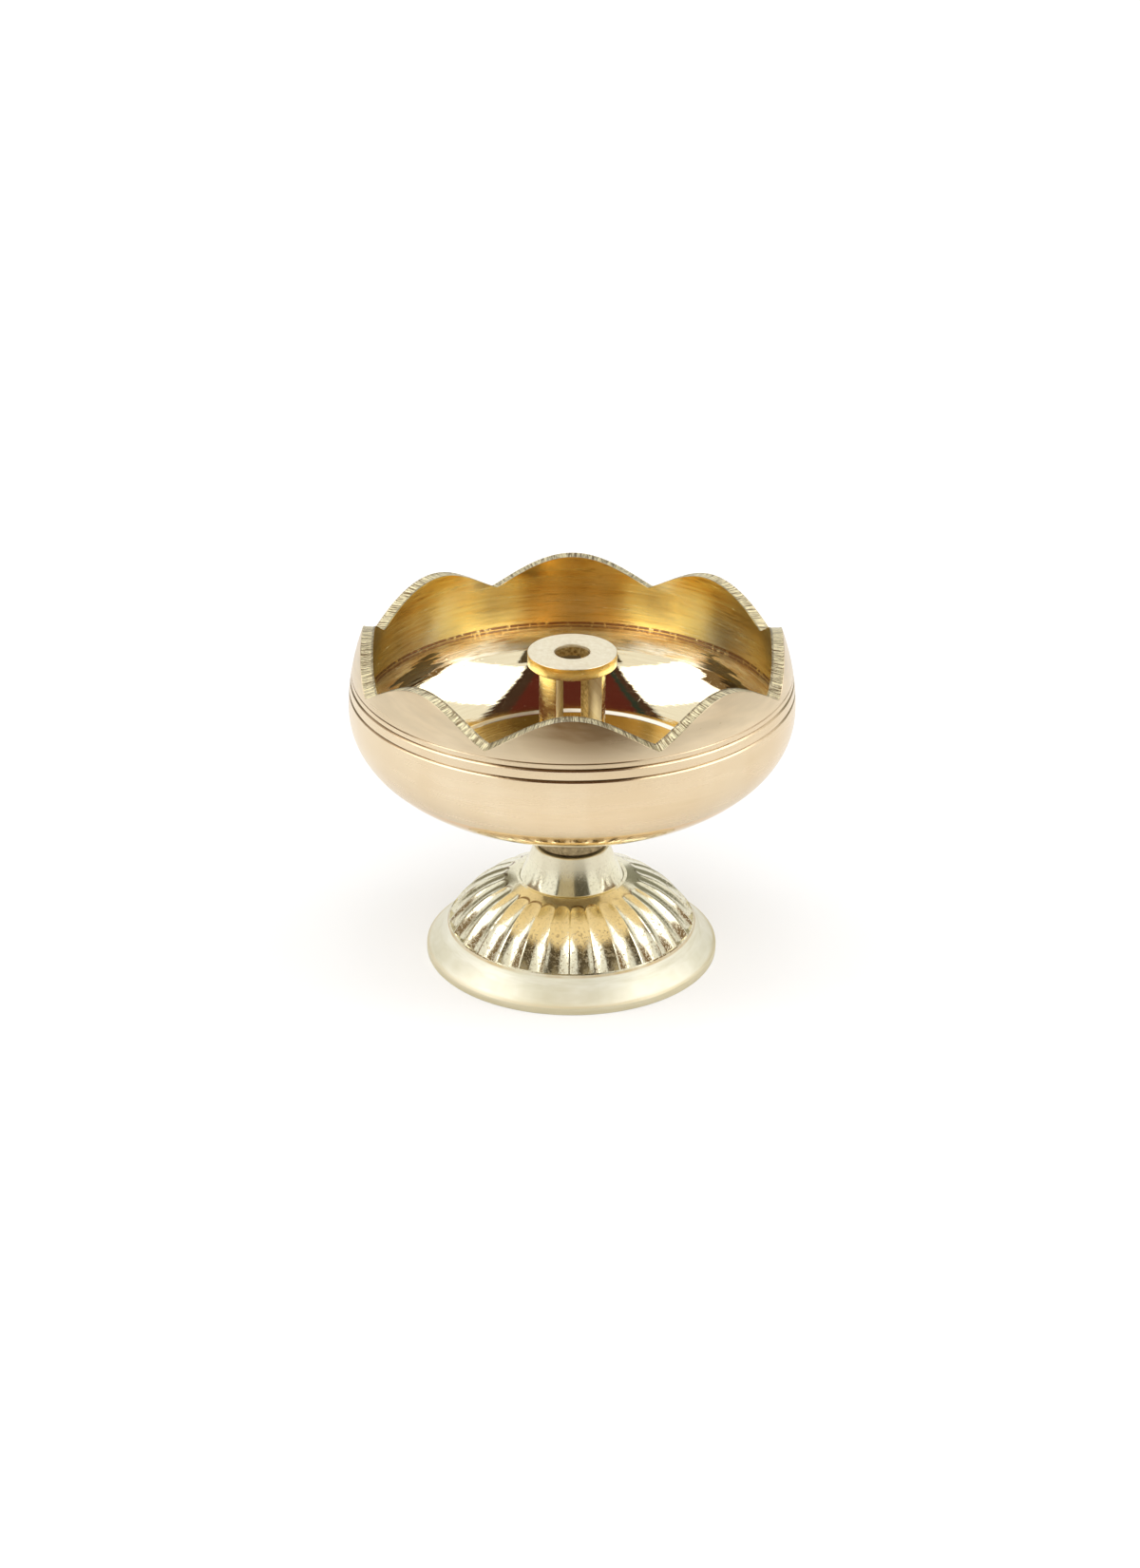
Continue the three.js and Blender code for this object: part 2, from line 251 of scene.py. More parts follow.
def turned(name, outline, columns, rule, sizes, finishes, crisp=38):
    """A closed mesh turned about Z by a geometry tree, whose inputs are the named sizes.

    The grid has one row for each outline point. The rule takes the tree's sizes, the row's radius,
    height and marks, and the column, and gives the radius, angle and height of the point there.
    Edges that turn by more than crisp degrees stay sharp.
    """
    sizes = {"Columns": columns, **sizes}
    tree = bpy.data.node_groups.new(name, "GeometryNodeTree")
    interface = tree.interface
    interface.new_socket("Geometry", in_out="INPUT", socket_type="NodeSocketGeometry")
    for label, value in sizes.items():
        kind = "NodeSocketInt" if isinstance(value, int) else "NodeSocketFloat"
        interface.new_socket(label, in_out="INPUT", socket_type=kind)
    interface.new_socket("Geometry", in_out="OUTPUT", socket_type="NodeSocketGeometry")
    start = tree.nodes.new("NodeGroupInput")
    end = tree.nodes.new("NodeGroupOutput")
    size = {label: Field(tree, start.outputs[label]) for label in sizes}

    rows = place(tree, "GeometryNodeAttributeDomainSize", Geometry=start.outputs["Geometry"])
    grid = place(
        tree, "GeometryNodeMeshGrid",
        Vertices_X=rows.outputs["Point Count"], Vertices_Y=size["Columns"] + 1,
    )
    index = Field(tree, tree.nodes.new("GeometryNodeInputIndex").outputs[0])
    row = (index / (size["Columns"] + 1)).math("FLOOR")
    column = index - row * (size["Columns"] + 1)

    def along(data_type, value, at):
        return place(
            tree, "GeometryNodeSampleIndex", {"data_type": data_type},
            Geometry=start.outputs["Geometry"], Value=value, Index=at,
        ).outputs["Value"]

    def mark(label, at):
        named = place(tree, "GeometryNodeInputNamedAttribute", {"data_type": "FLOAT"}, Name=label)
        return Field(tree, along("FLOAT", named.outputs["Attribute"], at))

    position = tree.nodes.new("GeometryNodeInputPosition").outputs[0]
    point = place(tree, "ShaderNodeSeparateXYZ", Vector=along("FLOAT_VECTOR", position, row))
    marks = {m: mark(m, row) for m in outline.marks}
    radius, angle, height = rule(
        size, Field(tree, point.outputs["X"]), Field(tree, point.outputs["Z"]), marks, column
    )
    spot = place(
        tree, "ShaderNodeCombineXYZ",
        X=radius * angle.math("SINE"), Y=radius * angle.math("COSINE") * -1.0, Z=height,
    )
    shaped = place(
        tree, "GeometryNodeSetPosition", Geometry=grid.outputs["Mesh"], Position=spot.outputs[0]
    )
    kept = place(
        tree, "GeometryNodeStoreNamedAttribute", {"data_type": "FLOAT", "domain": "FACE"},
        Geometry=shaped.outputs[0], Name="finish",
        Value=mark("finish", (index / size["Columns"]).math("FLOOR")),
    )
    closed = place(
        tree, "GeometryNodeMergeByDistance", Geometry=kept.outputs[0], Distance=0.002 * MM
    )
    smooth = place(tree, "GeometryNodeSetShadeSmooth", Geometry=closed.outputs[0])
    last = place(tree, "GeometryNodeRealizeInstances", Geometry=smooth.outputs[0])
    named = place(tree, "GeometryNodeInputNamedAttribute", {"data_type": "FLOAT"}, Name="finish")
    for number, material in enumerate(finishes):
        chosen = calculate(tree, "COMPARE", Field(tree, named.outputs["Attribute"]), number, 0.5)
        last = place(
            tree, "GeometryNodeSetMaterial",
            Geometry=last.outputs[0], Selection=chosen, Material=material,
        )
    tree.links.new(last.outputs[0], end.inputs[0])

    piece = stand(name, outline.mesh(name))
    modifier = piece.modifiers.new(name, "NODES")
    modifier.node_group = tree
    for item in interface.items_tree:
        if item.in_out == "INPUT" and item.name != "Geometry":
            modifier[item.identifier] = sizes[item.name]
    return plain(piece, crisp)


def plain(piece, crisp):
    """The piece with its modifiers' result as its own mesh, faces outward and edges crisp."""
    graph = bpy.context.evaluated_depsgraph_get()
    mesh = bpy.data.meshes.new_from_object(piece.evaluated_get(graph))
    piece.modifiers.clear()
    piece.data = mesh
    mesh.name = piece.name
    shape = bmesh.new()
    shape.from_mesh(mesh)
    bmesh.ops.recalc_face_normals(shape, faces=shape.faces)
    shape.to_mesh(mesh)
    shape.free()
    mesh.set_sharp_from_angle(angle=math.radians(crisp))
    return piece


def fluted(size, radius, height, marks, column):
    """The rule of the fluted dome: hollows that run from a round end by the neck to the crease."""
    start, end_length = size["Start"], size["End Length"]
    per_flute = size["Steps"] + 1
    number = (column / per_flute).math("FLOOR")
    across = (column - number * per_flute) * 2.0 / size["Steps"] - 1.0
    rounding = (1.0 - across * across).math("MAXIMUM", 0.0).math("SQRT")
    share = marks["share"] + marks["pull"] * end_length * (1.0 - rounding)

    reach = size["Crease Radius"] - size["Top Radius"]
    fall = size["Top Height"] - size["Crease Height"]
    run = hypotenuse(reach, fall)
    bow = 4.0 * size["Bulge"] * share * (1.0 - share) / run
    dome_radius = size["Top Radius"] + reach * share + fall * bow
    dome_height = size["Top Height"] - fall * share + reach * bow
    tilt = 4.0 * size["Bulge"] * (1.0 - 2.0 * share) / run
    out_radius = fall - reach * tilt
    out_height = reach + fall * tilt
    out_length = hypotenuse(out_radius, out_height)

    half_pitch = math.pi / size["Count"]
    half_angle = half_pitch - size["Land"] / 2.0 / dome_radius
    angle = size["Turn"] + number * half_pitch * 2.0 + across * half_angle
    beyond = ((start + end_length - share) / end_length).math("MAXIMUM", 0.0)
    hollow = (1.0 - across * across - beyond * beyond).math("MAXIMUM", 0.0)
    deepening = share.ramp(start, start + size["Fade"]).blend(FLUTE_END_DEPTH, 1.0)
    depth = size["Depth"] * hollow * deepening * dome_radius / size["Crease Radius"] * marks["cut"]

    on_dome = marks["dome"]
    return (
        on_dome.blend(radius, dome_radius - depth * out_radius / out_length),
        angle,
        on_dome.blend(height, dome_height - depth * out_height / out_length),
    )


def threaded(size, radius, height, marks, column):
    """The rule of a screw thread: a ridge that climbs one pitch in each turn."""
    turn = column / size["Columns"]
    phase = (height / size["Pitch"] - turn).math("FRACT")
    ridge = 1.0 - ((phase * 2.0 - 1.0).math("ABSOLUTE") * THREAD_STEEPNESS).math("MINIMUM", 1.0)
    return radius + ridge * size["Ridge"] * marks["cut"], turn * 2.0 * math.pi, height


def group(name, inputs, outputs):
    """A shader node group with named number inputs and outputs, and its two end nodes."""
    tree = bpy.data.node_groups.new(name, "ShaderNodeTree")
    for label, value in inputs.items():
        socket = tree.interface.new_socket(label, in_out="INPUT", socket_type="NodeSocketFloat")
        socket.default_value = value
    for label in outputs:
        tree.interface.new_socket(label, in_out="OUTPUT", socket_type="NodeSocketFloat")
    start = tree.nodes.new("NodeGroupInput")
    end = tree.nodes.new("NodeGroupOutput")
    return tree, {label: Field(tree, start.outputs[label]) for label in inputs}, end


def object_point(tree):
    """The object's own X, Y and Z as fields."""
    where = tree.nodes.new("ShaderNodeTexCoord")
    point = place(tree, "ShaderNodeSeparateXYZ", Vector=where.outputs["Object"])
    return tuple(Field(tree, point.outputs[axis]) for axis in "XYZ")


def noise(tree, x, y, z, detail=3.0, roughness=0.6):
    """Smooth noise from 0 to 1 at a point."""
    at = place(tree, "ShaderNodeCombineXYZ", X=x, Y=y, Z=z)
    cloud = place(
        tree, "ShaderNodeTexNoise",
        Vector=at.outputs[0], Scale=1.0, Detail=detail, Roughness=roughness,
    )
    return Field(tree, cloud.outputs["Fac"])


def even_noise(tree, size, detail, roughness=0.6):
    """Noise at the object's own point, with its grain the same in every direction."""
    x, y, z = object_point(tree)
    return noise(tree, x * size, y * size, z * size, detail, roughness)


# Turning marks run round the axis. Fine ones cover the piece, and longer streaks come and go. A
# small step off the axis keeps their direction finite there.
turning, given, ends = group(
    "Turning marks", {"Lines": 3000.0, "Streaks": 700.0, "Drift": 1.5}, ["Height", "Tone"]
)
x, y, z = object_point(turning)
radius = hypotenuse(x, y)
around = radius + OFF_AXIS
climb = radius + z
fine = noise(turning, x / around * 0.6, y / around * 0.6, climb * given["Lines"], 2.0)
streak = noise(
    turning, x / around * given["Drift"], y / around * given["Drift"],
    climb * given["Streaks"], 4.0, 0.7,
)
plug(turning, fine * 0.6 + streak * 0.4, ends.inputs["Height"])
plug(turning, streak.ramp(0.3, 0.7), ends.inputs["Tone"])

# Patches are the slow changes of tone that handling and polishing leave.
patches, given, ends = group("Patches", {"Size": 90.0}, ["Tone"])
plug(patches, even_noise(patches, given["Size"], 4.0).ramp(0.32, 0.68), ends.inputs["Tone"])

# Casting grain is the lumpy skin that the mould leaves where no tool has been.
grain, given, ends = group("Casting grain", {"Size": 2500.0}, ["Height", "Tone"])
lumps = even_noise(grain, given["Size"], 5.0, 0.7)
plug(grain, lumps, ends.inputs["Height"])
plug(grain, lumps.ramp(0.35, 0.65), ends.inputs["Tone"])

# Specks are small dark marks of old polish in the low places.
specks, given, ends = group("Specks", {"Size": 1500.0, "Share": 0.3}, ["Mask"])
spots = even_noise(specks, given["Size"], 3.0, 0.8)
plug(specks, spots.ramp(1.0 - given["Share"], 1.1 - given["Share"]), ends.inputs["Mask"])


def effect(tree, tree_of_group, **values):
    """One of the groups above, placed in a material with its own values."""
    node = place(tree, "ShaderNodeGroup", {"node_tree": tree_of_group}, **values)
    return {output.name: Field(tree, output) for output in node.outputs}


def tint(tree, share, low, high):
    """A colour between low and high, each of them red, green and blue, or a node's output."""
    mix = tree.nodes.new("ShaderNodeMix")
    mix.data_type = "RGBA"
    plug(tree, share, mix.inputs[0])
    for colour, socket in ((low, mix.inputs[6]), (high, mix.inputs[7])):
        plug(tree, (*colour, 1.0) if isinstance(colour, tuple) else colour, socket)
    return mix.outputs[2]


def new_material(name):
    """A material, its tree and its shader."""
    material = bpy.data.materials.new(name)
    material.use_nodes = True
    return material, material.node_tree, material.node_tree.nodes["Principled BSDF"]


def brass(name, anisotropy=0.0):
    """A bare metal material. An anisotropy above 0 is for marks that run round the axis."""
    material, tree, shader = new_material(name)
    fit(tree, shader, Metallic=1.0, Anisotropic=anisotropy, Anisotropic_Rotation=0.25)
    return material, tree, shader


def finish(tree, shader, colour, roughness, height, depth):
    """Gives the shader its colour and roughness, and bumps of a real depth."""
    bump = place(tree, "ShaderNodeBump", Height=height, Distance=depth, Strength=1.0)
    fit(tree, shader, Base_Color=colour, Roughness=roughness, Normal=bump.outputs[0])


# The dome is pitted towards the crease and darkened there by painted shade, some flutes have
# painted shade in their round ends, and the neck is duller near its top.
pedestal_polished, tree, shader = brass("pedestal_polished", 0.35)
marks = effect(tree, turning, Lines=2600.0, Streaks=900.0, Drift=2.0)
tone = effect(tree, patches, Size=120.0)["Tone"]
pits = effect(tree, specks, Size=2100.0, Share=0.47)["Mask"]
across, back, high = object_point(tree)
pitted_and_shaded = high.ramp(*PITTED_AND_SHADED_HEIGHTS)
upper_neck = high.ramp(*DULL_NECK_HEIGHTS)
# Painted shade: a dark brown arc in the round ends of some flutes, picked at random.
flutes = (across.math("ARCTAN2", back * -1.0) - FLUTE_TURN) * FLUTE_COUNT / (2.0 * math.pi)
beside = (flutes - flutes.math("ROUND")) * 2.1
rounding = (1.0 - beside * beside).math("MAXIMUM", 0.0).math("SQRT")
end_line = FLUTE_END_SHADE_RADIUS + FLUTE_END_SHADE_BOW * (1.0 - rounding)
flute_end_shade = hypotenuse(across, back).near(end_line, 0.32 * MM, 0.12 * MM)
chance = noise(tree, across * 260.0, back * 260.0, high * 100.0, 2.0).ramp(0.42, 0.56)
shade = tint(tree, tone, (0.80, 0.74, 0.52), (0.88, 0.84, 0.64))
# Real dark pits gather low on the dome, and painted shade darkens that whole low band a little.
shade = tint(tree, pitted_and_shaded * 0.15 + pits * (0.3 + pitted_and_shaded * 0.35), shade, (0.42, 0.34, 0.21))
shade = tint(tree, flute_end_shade * chance * 0.85, shade, (0.20, 0.11, 0.04))
shade = tint(tree, upper_neck * 0.6, shade, (0.84, 0.78, 0.60))
roughness = 0.12 + marks["Tone"] * 0.05 + pits * (0.1 + pitted_and_shaded * 0.3) + upper_neck * 0.2
finish(tree, shader, shade, roughness, marks["Height"] + pits * pitted_and_shaded, 0.006 * MM)

# The foot's flare is satin from the lathe, with a thin brown line along the crease and a browner
# outer edge.
pedestal_satin, tree, shader = brass("pedestal_satin", 0.6)
fit(tree, shader, Metallic=0.35)
marks = effect(tree, turning, Lines=3000.0, Streaks=1200.0, Drift=1.0)
tone = effect(tree, patches, Size=100.0)["Tone"]
across, back, _ = object_point(tree)
from_axis = hypotenuse(across, back)
by_crease = from_axis.near(CREASE_RADIUS + 0.1 * MM, 0.16 * MM, 0.06 * MM)
by_edge = from_axis.ramp(FOOT_RADIUS - 0.7 * MM, FOOT_RADIUS - 0.2 * MM)
lathe = marks["Tone"] * 0.8 + tone * 0.2
shade = tint(tree, lathe.ramp(0.2, 0.8), (0.76, 0.72, 0.52), (0.96, 0.94, 0.80))
shade = tint(tree, by_crease * tone, shade, (0.58, 0.40, 0.15))
shade = tint(tree, by_edge * 0.5, shade, (0.66, 0.54, 0.28))
finish(tree, shader, shade, 0.40 + marks["Tone"] * 0.08, marks["Height"], 0.030 * MM)

# No tool has been on the inside of the hollow, or on the bowl's stub.
as_cast, tree, shader = brass("brass_as_cast")
skin = effect(tree, grain, Size=1400.0)
shade = tint(tree, skin["Tone"], (0.20, 0.15, 0.08), (0.55, 0.44, 0.26))
finish(tree, shader, shade, 0.45 + skin["Tone"] * 0.2, skin["Height"], 0.12 * MM)

thread_cut, tree, shader = brass("brass_thread_cut", 0.3)
marks = effect(tree, turning, Lines=5000.0, Streaks=1500.0, Drift=3.0)
shade = tint(tree, marks["Tone"], (0.62, 0.47, 0.22), (0.84, 0.69, 0.38))
finish(tree, shader, shade, 0.2 + marks["Tone"] * 0.12, marks["Height"], 0.01 * MM)

POLISHED, SATIN, ROUGH = 0, 1, 2
outline = Outline()
crease = (CREASE_RADIUS, CREASE_HEIGHT)
dome_top = (DOME_TOP_RADIUS, DOME_TOP_HEIGHT)
slope = math.atan2(DOME_TOP_HEIGHT - CREASE_HEIGHT, CREASE_RADIUS - DOME_TOP_RADIUS)
hollow_foot = (
    CREASE_RADIUS - DOME_WALL * math.sin(slope),
    CREASE_HEIGHT - DOME_WALL * math.cos(slope),
)
hollow_top = (NECK_BASE_RADIUS, NECK_FLOOR)
foot_inside = (FOOT_RADIUS - FOOT_RING_WIDTH, 0.0)

# Rows off the dome have the share of the dome's edge that they go on from, which keeps the columns
# straight.
outline.add(stretch((TAP_RADIUS, NECK_FLOOR), hollow_top, 4)[:-1], ROUGH)
outline.add(stretch(hollow_top, hollow_foot, 10, DOME_BULGE)[:-1], ROUGH, share=1.0)
outline.add(stretch(hollow_foot, foot_inside, 4)[:-1], ROUGH, share=1.0)
flare = stretch((FOOT_RADIUS - FOOT_SOFTNESS, FOOT_EDGE_HEIGHT), crease, 12, FLARE_SAG)
edge = [foot_inside, (FOOT_RADIUS, 0.0), (FOOT_RADIUS, FOOT_EDGE_HEIGHT), flare[1]]
outline.add(softened(edge, FOOT_SOFTNESS)[:-1] + flare[1:-1], SATIN, share=1.0)

# The dome's rows are shares of the way from its top down to the crease, and run upwards: a plain
# edge, the flutes' straight part, their round ends, and the plain top. The rule finds the places.
stops = [1.0, 0.994, FLUTE_STOP + 0.002, FLUTE_STOP]
straight = [
    FLUTE_STOP + (FLUTE_START + FLUTE_END_LENGTH - FLUTE_STOP) * i / FLUTE_ROWS
    for i in range(1, FLUTE_ROWS + 1)
]
end = [
    FLUTE_START + FLUTE_END_LENGTH * (1 - i / FLUTE_END_ROWS) for i in range(1, FLUTE_END_ROWS + 1)
]
above = [FLUTE_START * (1 - i / ROWS_ABOVE_FLUTES) for i in range(1, ROWS_ABOVE_FLUTES + 1)]
shares = stops + straight + end + above
pulls = [0.0] * (len(stops) + FLUTE_ROWS - FLUTE_PULLED_ROWS)
pulls += [i / FLUTE_PULLED_ROWS for i in range(1, FLUTE_PULLED_ROWS + 1)]
pulls += [1.0] * len(end)
pulls += [1.0 - i / ROWS_ABOVE_FLUTES for i in range(1, ROWS_ABOVE_FLUTES + 1)]
cuts = [0.0] * 3 + [1.0] * (len(shares) - 3)
outline.add(
    [(0.0, 0.0)] * len(shares), POLISHED,
    share=shares, pull=pulls, cut=cuts, dome=[1.0] * len(shares),
)
neck = [
    dome_top,
    (NECK_BASE_RADIUS, DOME_TOP_HEIGHT),
    (NECK_TOP_RADIUS, DOME_TOP_HEIGHT + NECK_HEIGHT),
    (TAP_RADIUS, DOME_TOP_HEIGHT + NECK_HEIGHT),
]
neck_line = softened(neck, NECK_SOFTNESS)
outline.add(neck_line[1:5], POLISHED)
outline.add(stretch(neck_line[4], neck_line[5], 12, NECK_SAG)[1:], POLISHED)
outline.add(neck_line[6:], POLISHED)
outline.add(stretch(neck_line[-1], (TAP_RADIUS, NECK_FLOOR), 6)[1:], ROUGH)
pedestal = turned(
    "pedestal_casting", outline, FLUTE_COUNT * (FLUTE_STEPS + 1), fluted,
    {
        "Count": FLUTE_COUNT, "Steps": FLUTE_STEPS, "Turn": FLUTE_TURN, "Depth": FLUTE_DEPTH,
        "Land": FLUTE_LAND, "Start": FLUTE_START, "End Length": FLUTE_END_LENGTH,
        "Fade": FLUTE_FADE,
        "Top Radius": DOME_TOP_RADIUS, "Top Height": DOME_TOP_HEIGHT,
        "Crease Radius": CREASE_RADIUS, "Crease Height": CREASE_HEIGHT, "Bulge": DOME_BULGE,
    },
    [pedestal_polished, pedestal_satin, as_cast], crisp=15,
)
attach(pedestal, "pedestal")
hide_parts("pedestal")


def tapped(name, radius, bottom, top, pitch, rows):
    """The thread cut in a hole between two heights, as a ring that lines the hole."""
    outline = Outline()
    lining = stretch((radius - TAP_LINING, bottom), (radius - TAP_LINING, top), rows)
    outline.add(lining, 0, cut=[0.0] + [-1.0] * (len(lining) - 2) + [0.0])
    outline.add([(radius + TAP_THREAD_DEPTH, at) for _, at in (lining[-1], lining[0])], 0)
    outline.add([lining[0]], 0)
    return turned(
        name, outline, THREAD_COLUMNS, threaded,
        {"Pitch": pitch, "Ridge": TAP_THREAD_DEPTH}, [thread_cut],
    )


neck_thread = tapped(
    "neck_thread", TAP_RADIUS,
    NECK_FLOOR + TAP_LEAD, DOME_TOP_HEIGHT + NECK_HEIGHT - TAP_LEAD, THREAD_PITCH, 60,
)
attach(neck_thread, "pedestal")
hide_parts("pedestal")


# Bowl
# A heavier casting in warmer brass, turned inside and out, with its rim filed into eight petals.
# The rough stub under it was held in the chuck, and ends in the stud that screws into the neck.

BOWL_SEAT = 20.2 * MM
BOSS_RADIUS = 6.0 * MM
BOSS_LENGTH = 7.1 * MM
BOSS_FILLET = 2.2 * MM
STUD_LENGTH = 8.3 * MM
STUD_CORE_RADIUS = 3.2 * MM
STUD_THREAD_DEPTH = 0.58 * MM
SCREW_POINT = 0.5 * MM
SCREW_ROOT = 0.8 * MM
SCREW_BLUNT_ROWS = 3
SCREW_LEAD_ROWS = 6
BOWL_RADIUS = 37.4 * MM
BELLY_DEPTH = 18.9 * MM
BELLY_POWER = 2.13
RIM_RADIUS = 35.0 * MM
RIM_RISE = 12.6 * MM
RIM_POWER = 1.9
BOWL_WALL = 2.1 * MM
FLOOR_THICKNESS = 2.4 * MM
SPOT_FACE_RADIUS = 6.45 * MM
SOCKET_RADIUS = 3.0 * MM
SOCKET_DEPTH = 6.6 * MM
SOCKET_PITCH = 1.0 * MM
PETAL_COUNT = 8
PETAL_COLUMNS = 48
PETAL_DEPTH = 5.3 * MM
PETAL_BEVEL = 0.5 * MM
PETAL_POWER = 1.1
PETAL_BASE = 52.4 * MM
RIM_BREAK = 0.15 * MM
RIM_SOFTNESS = 0.08 * MM

# A groove or scribed line has its height, width and depth in millimetres, and a dark line its
# height in millimetres and its strength.
FLOOR_LINE = 33.6
GROOVES = [(49.25, 0.55, 0.3), (51.1, 0.55, 0.3), (52.15, 0.25, 0.07)]
SCRIBED_LINES = [(45.25, 0.3, 0.05), (44.65, 0.35, 0.05), (FLOOR_LINE, 0.35, 0.05)]
DARK_LINES = [(45.35, 0.95), (44.75, 0.8), (44.2, 0.35)]

PETAL_TONE_HEIGHTS = (51.5 * MM, 53.5 * MM)
BARE_HEIGHTS = (37.9 * MM, 37.6 * MM)
UNDERSIDE_HEIGHTS = (36.6 * MM, 35.0 * MM)
STAIN_ASIDE = 2.5 * MM
STAIN_HEIGHT = 58.8 * MM
STAIN_REACH = (8.0 * MM, 3.0 * MM)
STAIN_FRONT = -20.0 * MM
BRUSHED_HEIGHTS = (40.9 * MM, 41.0 * MM)
WALL_HEIGHTS = (44.7 * MM, 45.3 * MM)
NEAR_RIM_HEIGHTS = (48.0 * MM, 56.0 * MM)

# Places on the inside are angles from the back, the same to the left and right. Each pair runs
# from where a tone is absent to where it is full.
SIDE_ANGLES = (0.85, 1.2)
BACK_ANGLES = (0.36, 0.20)
# The wall's painted highlight, at the back left and right low down, lies between these angles and
# heights.
WALL_HIGHLIGHT_START, WALL_HIGHLIGHT_END = (0.24, 0.36), (0.92, 0.70)
WALL_HIGHLIGHT_HEIGHTS = (57.0 * MM, 53.0 * MM)
SOOT_START, SOOT_END = (0.73, 0.75), (1.16, 1.12)
SOOT_HEIGHT = 42.5 * MM
SOOT_ANGLE = 0.77
SOOT_FALL = 7.4 * MM
# The painted glint on the scribed floor line fades out between these angles from the back.
FLOOR_LINE_GLINT_END = (0.95, 0.85)

BOWL_BOTTOM = BOWL_SEAT + BOSS_LENGTH
EQUATOR = BOWL_BOTTOM + BELLY_DEPTH
BOWL_FLOOR = BOWL_BOTTOM + FLOOR_THICKNESS
RIM_TOP = EQUATOR + RIM_RISE


def petalled(size, radius, height, marks, column):
    """The rule of the petals: rows near the rim slide down the wall between petals."""
    tree = radius.tree
    angle = column / size["Columns"] * 2.0 * math.pi
    pitches = angle * size["Petals"] / (2.0 * math.pi)
    offset = (pitches - pitches.math("ROUND")).math("ABSOLUTE") * math.pi
    share = offset.math("COSINE").math("MAXIMUM", 0.0) ** size["Power"]

    def inset(at):
        rise = ((at - size["Equator"]) / size["Rise"]).math("MAXIMUM", 0.0)
        return size["Inset"] * rise ** size["Curve"]

    inner = size["Bowl Radius"] - size["Wall"] - inset(height)
    across = ((radius - inner) / size["Wall"]).ramp(0.0, 1.0)
    near_rim = height.ramp(size["Petal Base"], size["Equator"] + size["Rise"])
    filed = noise(
        tree, angle.math("SINE") * size["File Marks"], angle.math("COSINE") * size["File Marks"],
        radius * 400.0, 2.0,
    )
    drop = (1.0 - share) * (size["Depth"] + size["Bevel"] * across) * near_rim
    lowered = height - drop - filed * size["File Depth"] * marks["filed"]
    return radius + inset(height) - inset(lowered), angle, lowered


def belly(reach, depth, start_radius, steps):
    """Points up the belly's curve, from a radius near its bottom to the widest place."""
    start = math.acos((start_radius / reach) ** (BELLY_POWER / 2))
    points = []
    for i in range(steps + 1):
        at = start * (1 - i / steps)
        points.append((
            reach * math.cos(at) ** (2 / BELLY_POWER),
            EQUATOR - depth * math.sin(at) ** (2 / BELLY_POWER),
        ))
    return points


def upper_wall(at, wall):
    """The point of the wall at a height above its widest place."""
    inset = (BOWL_RADIUS - RIM_RADIUS) * ((at - EQUATOR) / RIM_RISE) ** RIM_POWER
    return BOWL_RADIUS - wall - inset, at


# Outside, the bowl is satin with warm upright streaks. The petals are duller and smeared by
# handling, and the front one has a brown stain. Painted shade darkens the grooves, most at the
# front and towards the left. Low under the belly the metal is bare and bright.
bowl_satin, tree, shader = brass("bowl_satin", 0.6)
marks = effect(tree, turning, Lines=2400.0, Streaks=420.0, Drift=1.2)
tone = effect(tree, patches, Size=55.0)["Tone"]
across, back, high = object_point(tree)
petal = high.ramp(*PETAL_TONE_HEIGHTS)
under = high.ramp(*BARE_HEIGHTS)
upright = noise(tree, across * 75.0, back * 75.0, high * 12.0, 2.0).ramp(0.40, 0.66)
smears = noise(tree, across * 70.0 + high * 160.0, back * 70.0, high * 260.0, 3.0).ramp(0.42, 0.62)
grooves = sum(high.near(at * MM, width * 0.55 * MM, width * 0.3 * MM) for at, width, _ in GROOVES)
facing = across.math("ARCTAN2", back * -1.0)
# Where the painted shade in the grooves is strongest: at the front and towards the left.
groove_shade_facing = facing.near(-0.03, 0.36, 0.28) + (facing * -1.0).ramp(0.55, 0.85)
from_stain = hypotenuse((across - STAIN_ASIDE) / 1.6, high - STAIN_HEIGHT)
stain = from_stain.ramp(*STAIN_REACH) * back.ramp(0.0, STAIN_FRONT)
petal_tone = tint(tree, marks["Tone"], (0.70, 0.57, 0.38), (0.82, 0.69, 0.48))
bare = tint(tree, high.ramp(*UNDERSIDE_HEIGHTS), (0.82, 0.55, 0.26), (0.97, 0.77, 0.46))
shade = tint(tree, marks["Tone"], (0.755, 0.60, 0.39), (0.84, 0.685, 0.465))
shade = tint(tree, tone * 0.4, shade, (0.87, 0.735, 0.54))
shade = tint(tree, upright * 0.35, shade, (0.70, 0.51, 0.29))
shade = tint(tree, petal * 0.55, shade, petal_tone)
shade = tint(tree, petal * smears * 0.45, shade, (0.56, 0.46, 0.31))
shade = tint(tree, under, shade, bare)
shade = tint(tree, stain * (0.72 + smears * 0.28), shade, (0.28, 0.165, 0.07))
# Painted shade in the grooves.
shade = tint(tree, grooves * (0.2 + groove_shade_facing * 0.6), shade, (0.24, 0.14, 0.06))
roughness = under.blend(0.22 + marks["Tone"] * 0.08 + petal * 0.05, 0.07)
finish(tree, shader, shade, roughness, marks["Height"], 0.008 * MM)

